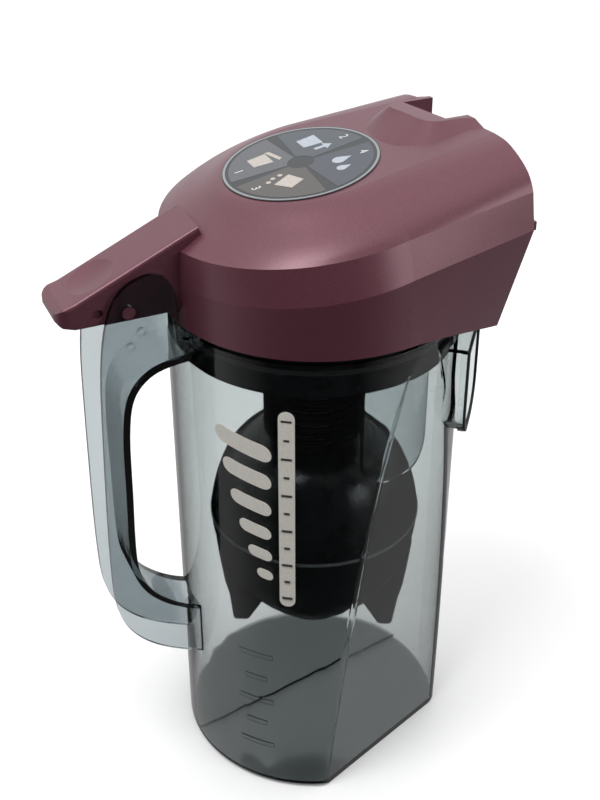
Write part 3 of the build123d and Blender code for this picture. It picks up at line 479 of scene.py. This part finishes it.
sleeve_low, sleeve_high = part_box("grille_mesh")
wire_steel = drawn_steel("wire_steel", WIRE_TONE, *WIRE_ROUGH, WIRE_MARKS)
wire_r = WIRE_T / 1000
sleeve = plain_mesh_of(wire_sleeve_tree(), "wire_sleeve", {
    "Radius": sleeve_high.x - 2 * wire_r, "Bottom": sleeve_low.z + wire_r, "Top": sleeve_high.z - wire_r,
    "Wires": WIRE_N, "Hoops": HOOP_N, "Wire radius": wire_r, "Finish": wire_steel}, wire_steel)
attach(sleeve, "jug")
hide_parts("grille_mesh")
dress(wire_steel, "grille_mesh")


# Seam ring between bell and cup, and the three screws that hold the neck to the collar.
# The ring is soft grey rubber; the screws are zinc-plated steel.
RING_GREY = (0.085, 0.088, 0.092, 1.0)
RING_ROUGH = 0.5
ZINC_TONE = (0.58, 0.59, 0.60, 1.0)
ZINC_ROUGH = (0.22, 0.38)
ZINC_MARKS = 900.0

dress(soft_rubber("grey_rubber", RING_GREY, RING_ROUGH), "seam_ring")
zinc_steel = drawn_steel("zinc_steel", ZINC_TONE, *ZINC_ROUGH, ZINC_MARKS)
dress(zinc_steel, "separator_screws")


# Lid: one plum moulding with skirt, bevel, dome, rear catch hump and thumb tongue.
# Injection-moulded in plastic with fine pearl flakes, smooth and softly glossy.
PLUM = (0.120, 0.035, 0.052, 1.0)
PLUM_FLAKE = (0.158, 0.054, 0.076, 1.0)


def plum_pearl(name):
    """Pearl plastic: plum body, fine paler flakes, soft gloss with a thin clear skin."""
    mat, tree, shader = finish_of(name)
    coords = add_node(tree, "ShaderNodeTexCoord")
    flakes = add_node(tree, "ShaderNodeTexVoronoi", {"Scale": 5200.0})
    tree.links.new(coords.outputs["Object"], flakes.inputs["Vector"])
    drift = object_noise(tree, scale=16.0, detail=2.0, rough=0.5)
    sparkle = add_node(tree, "ShaderNodeSeparateColor")
    tree.links.new(flakes.outputs["Color"], sparkle.inputs["Color"])
    tone = add_node(tree, "ShaderNodeMix", data_type="RGBA")
    tone.inputs["A"].default_value = PLUM
    tone.inputs["B"].default_value = PLUM_FLAKE
    tree.links.new(spread(tree, sparkle.outputs["Red"], 0.0, 0.85, 0.35, 1.0), tone.inputs["Factor"])
    tree.links.new(tone.outputs["Result"], shader.inputs["Base Color"])
    tree.links.new(spread(tree, drift.outputs["Fac"], 0.30, 0.40), shader.inputs["Roughness"])
    shader.inputs["Metallic"].default_value = 0.25
    shader.inputs["Coat Weight"].default_value = 0.12
    shader.inputs["Coat Roughness"].default_value = 0.22
    bump_of(tree, shader, sparkle.outputs["Green"], height=0.000012, strength=0.3)
    return mat


dress(plum_pearl("plum_plastic"), "lid_shell")


# Lid floor, filter cassette and rear outlet with their rubber seals and four screws, seen when the lid is open.
# Black mouldings, duller than the separator, with the rubber pressed on.
LID_FLOOR_TONE = (0.0125, 0.0130, 0.0140, 1.0)
LID_FLOOR_ROUGH = (0.32, 0.5)

dull_black = black_plastic("lid_floor_plastic", LID_FLOOR_TONE, *LID_FLOOR_ROUGH)
dress(dull_black, "lid_base", "filter_frame", "outlet_duct")
dress(black_rubber, "lid_seal", "outlet_seal")
dress(zinc_steel, "lid_screws")


# Foam block in the filter cassette: open-cell grey foam, cut from sheet, with soft edges.
# A cut block whose skin is pitted by the cells.
FOAM_COLOUR = (0.060, 0.066, 0.078, 1.0)
FOAM_CUTS = 34
FOAM_ROUND = 0.0012
FOAM_PIT = 0.00022
FOAM_PIT_SCALE = 420.0


def cell_foam(name):
    """Open-cell foam: matt grey, darkened in the pits between the cells as painted shade."""
    mat, tree, shader = finish_of(name)
    coords = add_node(tree, "ShaderNodeTexCoord")
    cells = add_node(tree, "ShaderNodeTexVoronoi", {"Scale": 1100.0})
    tree.links.new(coords.outputs["Object"], cells.inputs["Vector"])
    # Painted shade: the pits between the cells are darkened to a third of the foam's grey.
    tone = add_node(tree, "ShaderNodeMix", data_type="RGBA")
    tone.inputs["A"].default_value = tuple(c * 0.3 for c in FOAM_COLOUR[:3]) + (1.0,)
    tone.inputs["B"].default_value = FOAM_COLOUR
    tree.links.new(spread(tree, cells.outputs["Distance"], 0.0, 1.0, 0.1, 0.6), tone.inputs["Factor"])
    tree.links.new(tone.outputs["Result"], shader.inputs["Base Color"])
    tree.links.new(spread(tree, cells.outputs["Distance"], 0.95, 0.85), shader.inputs["Roughness"])
    bump_of(tree, shader, cells.outputs["Distance"], height=0.0004, strength=0.8)
    return mat


foam_low, foam_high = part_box("foam_filter")
foam_mid = (foam_low + foam_high) / 2
foam_half = (foam_high - foam_low) / 2
foam_bm = bmesh.new()
bmesh.ops.create_cube(foam_bm, size=2.0)
bmesh.ops.subdivide_edges(foam_bm, edges=foam_bm.edges[:], cuts=FOAM_CUTS, use_grid_fill=True)
for v in foam_bm.verts:
    inner = [h - FOAM_ROUND for h in foam_half]
    p = Vector([v.co[i] * foam_half[i] for i in range(3)])
    core = Vector([max(-inner[i], min(inner[i], p[i])) for i in range(3)])
    away = p - core
    if away.length > 1e-9:
        p = core + away.normalized() * FOAM_ROUND
    pit = abs(noise.noise((p + foam_mid) * FOAM_PIT_SCALE)) * FOAM_PIT
    v.co = foam_mid + p * (1 - pit / max(p.length, 1e-6))
foam_grey = cell_foam("foam_grey")
foam_block = as_piece(foam_bm, "foam_block", foam_grey)
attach(foam_block, "lid")
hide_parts("foam_filter")
dress(foam_grey, "foam_filter")


# Pleated paper over the foam: one folded sheet of white filter paper.
# Pressed fibre, matt, a little uneven in tone.
PAPER_TONES = [(0.66, 0.65, 0.60, 1.0), (0.80, 0.80, 0.77, 1.0)]


def fibre_paper(name):
    """Pressed fibre paper: off-white with fine fibres."""
    mat, tree, shader = finish_of(name)
    fibre = object_noise(tree, scale=700.0, detail=5.0, rough=0.7, stretch=(0.25, 1.0, 1.0))
    tone = add_node(tree, "ShaderNodeMix", data_type="RGBA")
    tone.inputs["A"].default_value = PAPER_TONES[0]
    tone.inputs["B"].default_value = PAPER_TONES[1]
    tree.links.new(spread(tree, fibre.outputs["Fac"], 0.0, 1.0, 0.35, 0.65), tone.inputs["Factor"])
    tree.links.new(tone.outputs["Result"], shader.inputs["Base Color"])
    tree.links.new(spread(tree, fibre.outputs["Fac"], 0.85, 0.97), shader.inputs["Roughness"])
    bump_of(tree, shader, fibre.outputs["Fac"], height=0.0001, strength=0.6)
    return mat


dress(fibre_paper("filter_paper"), "pleated_filter")


# Round sticker on the dome: dark film with a grey edge, four fields with plain emptying symbols and numbers.
# Printed film, laid flat on the top of the lid; each printed shape is a thin layer of ink.
FILM_COLOUR = (0.018, 0.020, 0.024, 1.0)
EDGE_GREY = (0.20, 0.215, 0.225, 1.0)
FIELD_TONES = [(0.050, 0.060, 0.072, 1.0), (0.075, 0.080, 0.088, 1.0), (0.062, 0.058, 0.056, 1.0),
               (0.045, 0.052, 0.066, 1.0)]
SYMBOL_TONES = [(0.46, 0.42, 0.38, 1.0), (0.40, 0.44, 0.50, 1.0)]
NUMBER_TONE = (0.62, 0.62, 0.60, 1.0)
FIELD_T = 0.05
SYMBOL_T = 0.06
EDGE_OUT, EDGE_IN = 0.4, 1.3
FIELD_START, FIELD_IN = 5.2, 2.6
FIELD_GAP = 5.0
SYMBOL_AT = 16.4
NUMBER_AT = 24.0
NUMBER_ASIDE = 24.0
NUMBER_SIZE = 5.2
NUMBER_T = 0.04
NUMBER_LIFT = 0.05
DROP_R, DROP_TIP = 2.6, 5.4

label_mesh = nodes["lid_label"].data
label_up = max(((p.normal.copy(), p.area) for p in label_mesh.polygons if p.normal.z > 0.8),
               key=lambda pair: pair[1])[0].normalized()
label_low, label_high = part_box("lid_label")
label_r = (label_high.y - label_low.y) * 500
label_mid = (label_low + label_high) / 2
label_top = max(v.co.dot(label_up) for v in label_mesh.vertices)
label_origin = label_mid + label_up * (label_top - label_mid.dot(label_up))
label_x = Vector((label_up.z, 0.0, -label_up.x)).normalized()
label_y = label_up.cross(label_x)


def sticker_film(name, colour):
    """Printed film: dark, satin, with a faint fleck."""
    mat, tree, shader = finish_of(name)
    fleck = object_noise(tree, scale=1600.0, detail=3.0)
    tone = add_node(tree, "ShaderNodeMix", data_type="RGBA")
    tone.inputs["A"].default_value = colour
    tone.inputs["B"].default_value = tuple(c * 1.35 for c in colour[:3]) + (1.0,)
    tree.links.new(spread(tree, fleck.outputs["Fac"], 0.0, 1.0, 0.35, 0.7), tone.inputs["Factor"])
    tree.links.new(tone.outputs["Result"], shader.inputs["Base Color"])
    tree.links.new(spread(tree, fleck.outputs["Fac"], 0.3, 0.42), shader.inputs["Roughness"])
    return mat


def lay_on_label(bm):
    """Put a flat millimetre drawing on the sticker's top, in metres."""
    for v in bm.verts:
        v.co = label_origin + (label_x * v.co.x + label_y * v.co.y + label_up * v.co.z) / 1000


def printed(name, outlines, base, thick, mat):
    """One printed layer on the sticker."""
    bm = flat_slab(outlines, base, thick, 0)
    lay_on_label(bm)
    piece = as_piece(bm, name, mat)
    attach(piece, "lid")


def ring_sector(r0, r1, a0, a1, steps=40):
    """Outline of part of a ring, angles in degrees."""
    turns = [math.radians(a0 + (a1 - a0) * i / steps) for i in range(steps + 1)]
    return ([(r1 * math.cos(t), r1 * math.sin(t)) for t in turns]
            + [(r0 * math.cos(t), r0 * math.sin(t)) for t in reversed(turns)])


def placed(outline, x, y, turn=0.0, size=1.0):
    """Outline turned, sized and moved."""
    c, s = math.cos(math.radians(turn)), math.sin(math.radians(turn))
    return [(x + size * (px * c - py * s), y + size * (px * s + py * c)) for px, py in outline]


dress(sticker_film("label_film", FILM_COLOUR), "lid_label")
edge_ink = sticker_film("label_edge_ink", EDGE_GREY)
edges = [ring_sector(label_r - EDGE_IN, label_r - EDGE_OUT, q * 90.0, q * 90.0 + 90.0) for q in range(4)]
printed("label_edge", edges, 0.0, FIELD_T, edge_ink)
for q in range(4):
    field = ring_sector(FIELD_START, label_r - FIELD_IN, q * 90.0 + FIELD_GAP, q * 90.0 + 90.0 - FIELD_GAP)
    field_ink = sticker_film("label_field_ink_%d" % (q + 1), FIELD_TONES[q])
    printed("label_field_%d" % (q + 1), [field], 0.0, FIELD_T, field_ink)

jar = [(-3.6, -4.5), (3.6, -4.5), (4.4, 3.4), (-4.4, 3.4)]
jar_lid = [(-4.8, 4.2), (4.8, 4.2), (4.2, 6.0), (-4.2, 6.0)]
arrow = [(-0.9, -3.6), (0.9, -3.6), (0.9, 0.6), (2.7, 0.6), (0.0, 3.8), (-2.7, 0.6), (-0.9, 0.6)]
dot = stadium(0.0, 0.0, 2.0, 1.98)
drop_turns = [math.radians(t) for t in range(-130, 131, 13)]
drop = [(DROP_R * math.sin(t), -DROP_R * math.cos(t)) for t in drop_turns] + [(0.0, DROP_TIP)]
symbol_inks = [ink("label_symbol_ink_%d" % i, tone, 0.85) for i, tone in enumerate(SYMBOL_TONES)]
symbols = [
    (135.0, [placed(jar, 0, 0), placed(jar_lid, 0.6, 0.6, 14.0)], 0),
    (45.0, [placed(jar, -2.4, -1.0), placed(arrow, 5.2, 0.8)], 1),
    (225.0, [placed(jar, 0, 1.2, 118.0), placed(dot, -5.8, -2.6), placed(dot, -6.6, 0.6),
             placed(dot, -4.0, -5.2)], 0),
    (315.0, [placed(drop, -3.0, 0.4), placed(drop, 3.6, -1.6, 0.0, 0.75)], 1),
]
for i, (turn, shapes, tone) in enumerate(symbols):
    cx = SYMBOL_AT * math.cos(math.radians(turn))
    cy = SYMBOL_AT * math.sin(math.radians(turn))
    outlines = [placed(shape, cx, cy, -90.0) for shape in shapes]
    printed("label_symbol_%d" % (i + 1), outlines, FIELD_T, SYMBOL_T, symbol_inks[tone])

number_ink = ink("label_number_ink", NUMBER_TONE, 0.9)
for i, (turn, _, _) in enumerate(symbols):
    text = bpy.data.curves.new("number_%d" % (i + 1), "FONT")
    text.body = str(i + 1)
    text.size = NUMBER_SIZE
    text.extrude = NUMBER_T
    text.align_x = "CENTER"
    text.align_y = "CENTER"
    holder = bpy.data.objects.new("number_%d" % (i + 1), text)
    bpy.context.scene.collection.objects.link(holder)
    bpy.context.view_layer.update()
    mesh = bpy.data.meshes.new_from_object(holder.evaluated_get(bpy.context.evaluated_depsgraph_get()))
    bpy.data.objects.remove(holder)
    a = math.radians(turn + (-NUMBER_ASIDE if i in (1, 2) else NUMBER_ASIDE))
    bm = bmesh.new()
    bm.from_mesh(mesh)
    bpy.data.meshes.remove(mesh)
    for v in bm.verts:
        flat = (NUMBER_AT * math.cos(a) + v.co.y, NUMBER_AT * math.sin(a) - v.co.x)
        v.co = Vector((*flat, FIELD_T + NUMBER_LIFT + v.co.z))
    bmesh.ops.remove_doubles(bm, verts=bm.verts[:], dist=0.0005)
    bmesh.ops.recalc_face_normals(bm, faces=bm.faces[:])
    lay_on_label(bm)
    number = as_piece(bm, "label_number_%d" % (i + 1), number_ink)
    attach(number, "lid")


# Stage: white floor under bright surroundings that are dim on the viewer's side, soft lights and the camera.
# The floor sends no light back to the object and isn't mirrored in it, as if it stood on a dark bench
# and was cut out on white.
FLOOR_HALF = 40.0
FLOOR_Z = -0.0002
VIEWER_SIDE = (-0.41, -0.91, 0.0)
VIEWER_CONE = (0.25, 0.70)
VIEWER_DIM = 0.06
SKY_LOW, SKY_HIGH = 0.25, 1.45
CAMERA_AT = (-0.20057, -0.43011, 0.46586)
CAMERA_ALONG = (0.34924, 0.77343, -0.52900)
CAMERA_LENS = 79.16
FLOOR_TONE = (0.90, 0.90, 0.90, 1.0)
LIGHT_AIM = (0.0, 0.0, 0.2)
LIGHT_SIZE = 0.7
KEY_AT, KEY_POWER = (-0.7, -0.3, 1.7), 14.0
FILL_AT, FILL_POWER = (1.0, -1.5, 0.75), 7.0

floor_bm = bmesh.new()
bmesh.ops.create_grid(floor_bm, x_segments=8, y_segments=8, size=FLOOR_HALF)
for v in floor_bm.verts:
    v.co.z = FLOOR_Z
floor_mat, floor_tree, floor_shader = finish_of("pale_floor")
floor_shader.inputs["Base Color"].default_value = FLOOR_TONE
floor_shader.inputs["Roughness"].default_value = 0.8
floor_shader.inputs["Specular IOR Level"].default_value = 0.1
bounce = add_node(floor_tree, "ShaderNodeLightPath")
mirrored = add_node(floor_tree, "ShaderNodeMath", {1: 0.5}, operation="GREATER_THAN")
unlit = add_node(floor_tree, "ShaderNodeBsdfDiffuse", {"Color": (0.0, 0.0, 0.0, 1.0)})
either = add_node(floor_tree, "ShaderNodeMixShader")
floor_tree.links.new(bounce.outputs["Glossy Depth"], mirrored.inputs[0])
floor_tree.links.new(mirrored.outputs["Value"], either.inputs["Fac"])
floor_tree.links.new(floor_shader.outputs["BSDF"], either.inputs[1])
floor_tree.links.new(unlit.outputs["BSDF"], either.inputs[2])
floor_tree.links.new(either.outputs["Shader"], floor_tree.nodes["Material Output"].inputs["Surface"])
floor = as_piece(floor_bm, "floor", floor_mat)
floor.visible_diffuse = False
floor.visible_glossy = False

world = bpy.data.worlds.new("soft_white")
bpy.context.scene.world = world
world.use_nodes = True
sky = world.node_tree
around = add_node(sky, "ShaderNodeTexCoord")
height = add_node(sky, "ShaderNodeSeparateXYZ")
towards = add_node(sky, "ShaderNodeVectorMath", {1: VIEWER_SIDE}, operation="DOT_PRODUCT")
level = add_node(sky, "ShaderNodeMath", operation="MULTIPLY")
sky.links.new(around.outputs["Generated"], height.inputs["Vector"])
sky.links.new(around.outputs["Generated"], towards.inputs[0])
sky.links.new(spread(sky, height.outputs["Z"], SKY_LOW, SKY_HIGH, -1.0, 1.0), level.inputs[0])
sky.links.new(spread(sky, towards.outputs["Value"], 1.0, VIEWER_DIM, *VIEWER_CONE), level.inputs[1])
sky.links.new(level.outputs["Value"], sky.nodes["Background"].inputs["Strength"])
sky.nodes["Background"].inputs["Color"].default_value = (1.0, 1.0, 1.0, 1.0)


def soft_light(name, at, aim, size, power):
    """Square soft box aimed at a point."""
    light = bpy.data.lights.new(name, "AREA")
    light.shape = "SQUARE"
    light.size = size
    light.energy = power
    holder = bpy.data.objects.new(name, light)
    holder.location = at
    holder.rotation_euler = (Vector(aim) - Vector(at)).to_track_quat("-Z", "Y").to_euler()
    bpy.context.scene.collection.objects.link(holder)


soft_light("key_light", KEY_AT, LIGHT_AIM, LIGHT_SIZE, KEY_POWER)
soft_light("fill_light", FILL_AT, LIGHT_AIM, LIGHT_SIZE, FILL_POWER)

camera = bpy.data.cameras.new("camera")
camera.sensor_fit = "HORIZONTAL"
camera.sensor_width = 36.0
camera.lens = CAMERA_LENS
camera.clip_start = 0.01
camera.clip_end = 50.0
view = bpy.data.objects.new("camera", camera)
view.location = CAMERA_AT
view.rotation_euler = Vector(CAMERA_ALONG).to_track_quat("-Z", "Y").to_euler()
bpy.context.scene.collection.objects.link(view)
bpy.context.scene.camera = view
bpy.context.scene.view_settings.view_transform = "Standard"
